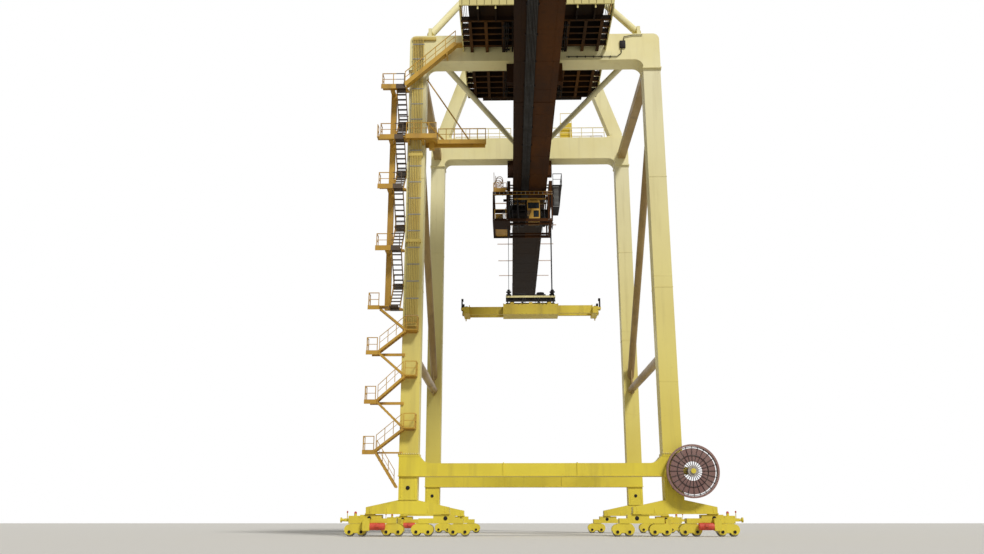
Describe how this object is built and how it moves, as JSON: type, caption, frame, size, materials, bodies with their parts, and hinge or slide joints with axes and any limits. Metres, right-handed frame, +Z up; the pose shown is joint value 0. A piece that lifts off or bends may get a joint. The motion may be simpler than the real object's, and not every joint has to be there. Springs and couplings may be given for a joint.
{
  "type": "ship-to-shore container crane",
  "caption": "Rail-mounted quayside gantry crane: portal legs on bogies, box girder with luffing boom and stays, under-slung trolley with cab, and a telescopic spreader on ropes.",
  "frame": {"origin": "on the rail tops, midway between the legs along the rails and midway between the girder's rear end and the boom tip", "axes": "+X along the rails, +Y out over the water along the boom, +Z up"},
  "size_m": [2.566, 7.8, 5.7624],
  "materials": {
    "paint_low": "semi-gloss, dusty",
    "paint_leg": "semi-gloss, weathered",
    "paint_top": "faded satin",
    "paint_stair": "satin, dusty",
    "girder_brown": "matte, rusty",
    "boom_grey": "matte",
    "dark_steel": "matte",
    "bare_steel": "worn",
    "roof_grey": "matte",
    "motor_red": "satin",
    "reel_brown": "matte, dusty",
    "window": "tinted"
  },
  "bodies": {
    "crane": {"sill_beam_land": "paint_low", "sill_beam_water": "paint_low", "leg_land_left": "paint_leg", "leg_land_right": "paint_leg", "leg_water_left": "paint_leg", "leg_water_right": "paint_leg", "crossbeam_land": "paint_top", "crossbeam_water": "paint_top", "side_frame_left": "paint_top", "side_frame_right": "paint_top", "plan_braces": "paint_leg", "pylon_left": "paint_top", "pylon_right": "paint_top", "apex_beam": "paint_top", "backstay_left": "paint_top", "backstay_right": "paint_top", "land_girder": "girder_brown", "girder_rails": "bare_steel", "cable_trough": "dark_steel", "machinery_platform": "dark_steel", "platform_railings": "paint_leg", "house_walls": "paint_top", "house_roof": "roof_grey", "house_fittings": "roof_grey", "lower_stair": "paint_stair", "upper_stair": "paint_stair", "leg_gallery": "paint_stair", "leg_conduits": "paint_top", "water_walkway": "paint_leg", "equalizers_land": "paint_low", "equalizers_water": "paint_low", "bogies_land": "paint_low", "bogies_water": "paint_low", "travel_wheels_land": "bare_steel", "travel_wheels_water": "bare_steel", "travel_motors": "motor_red", "buffer_arms": "paint_low", "reel_bracket": "paint_low"},
    "boom": {"boom_box": "boom_grey", "boom_walkways": "paint_top", "boom_railings": "paint_leg"},
    "forestay_upper": {"stay_upper": "paint_top"},
    "forestay_lower": {"stay_lower": "paint_top"},
    "reel": {"cable_reel": "reel_brown"},
    "trolley": {"trolley_frame": "paint_leg", "trolley_wheels": "bare_steel", "trolley_platform": "paint_stair", "cab_shell": "paint_leg", "cab_windows": "window", "trolley_cabinet": "dark_steel", "hoist_ropes": "dark_steel"},
    "load_beam": {"headblock": "paint_leg", "spreader_frame": "paint_leg"},
    "arm_left": {"spreader_arm_left": "paint_leg"},
    "arm_right": {"spreader_arm_right": "paint_leg"},
    "guides_left": {"flippers_left": "paint_leg"},
    "guides_right": {"flippers_right": "paint_leg"}
  },
  "joints": [
    {"name": "boom_luff", "type": "hinge", "parent": "crane", "child": "boom", "pos_m": [0, 0.06, 3.36], "axis": [1, 0, 0], "range_deg": [0, 80]},
    {"name": "trolley_travel", "type": "slide", "parent": "crane", "child": "trolley", "axis": [0, 1, 0], "range_m": [-3.26, 3.88]},
    {"name": "hoist", "type": "slide", "parent": "trolley", "child": "load_beam", "axis": [0, 0, 1], "range_m": [-1.3, 0.5], "deforming": ["hoist_ropes"]},
    {"name": "arm_left_slide", "type": "slide", "parent": "load_beam", "child": "arm_left", "axis": [1, 0, 0], "range_m": [0, 0.3]},
    {"name": "arm_right_slide", "type": "slide", "parent": "load_beam", "child": "arm_right", "axis": [-1, 0, 0], "range_m": [0, 0.3]},
    {"name": "guides_left_swing", "type": "hinge", "parent": "arm_left", "child": "guides_left", "pos_m": [-0.626, -0.24, 1.954], "axis": [0, -1, 0], "range_deg": [0, 170]},
    {"name": "guides_right_swing", "type": "hinge", "parent": "arm_right", "child": "guides_right", "pos_m": [0.626, -0.24, 1.954], "axis": [0, 1, 0], "range_deg": [0, 170]},
    {"name": "cable_reel_spin", "type": "hinge", "parent": "crane", "child": "reel", "pos_m": [0.962, -2.4, 0.4], "axis": [0, 1, 0], "continuous": true},
    {"name": "forestay_upper_swing", "type": "hinge", "parent": "crane", "child": "forestay_upper", "pos_m": [0, -0.4, 5.56], "axis": [1, 0, 0], "range_deg": [-40.5, 0.5]},
    {"name": "forestay_lower_swing", "type": "hinge", "parent": "boom", "child": "forestay_lower", "pos_m": [0, 2.9, 3.4], "axis": [1, 0, 0], "range_deg": [-0.5, 34]}
  ],
  "couplings": [
    {"joint": "forestay_upper_swing", "follows": "boom_luff", "ratio": -0.4852},
    {"joint": "forestay_lower_swing", "follows": "boom_luff", "ratio": 0.4151},
    {"joint": "arm_right_slide", "follows": "arm_left_slide", "ratio": 1}
  ]
}
